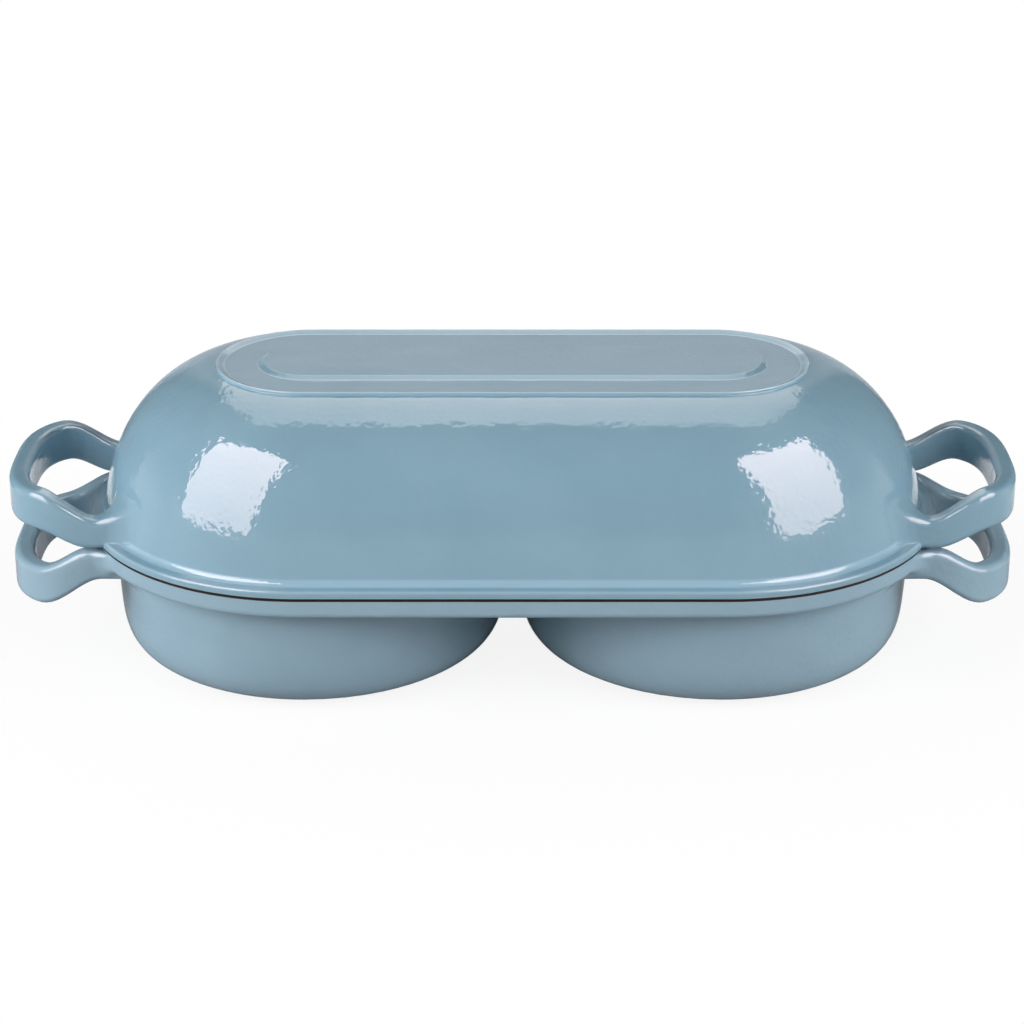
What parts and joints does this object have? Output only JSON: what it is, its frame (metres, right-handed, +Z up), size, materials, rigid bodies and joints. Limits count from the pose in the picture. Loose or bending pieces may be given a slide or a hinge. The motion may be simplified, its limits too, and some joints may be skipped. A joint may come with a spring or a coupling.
{
  "type": "double dutch oven",
  "caption": "Long enamelled cast-iron baking oven: a pan with round wells side by side under a flange, a domed oval lid that lifts off, and loop handles at each end.",
  "frame": {"origin": "on the surface that it stands on, under the middle of the oven", "axes": "+X along the length, through both wells and the handles; +Y across; +Z up"},
  "size_m": [0.509, 0.227, 0.1499],
  "materials": {
    "enamel": "glossy pale grey-blue vitreous enamel with a light orange peel over cast iron; bare dark iron on the lands where the castings meet"
  },
  "bodies": {
    "pan": {"pan": "enamel"},
    "lid": {"lid": "enamel"}
  },
  "joints": [
    {"name": "lid_lift", "type": "slide", "parent": "pan", "child": "lid", "axis": [0, 0, 1], "range_m": [0, 0.16]}
  ]
}
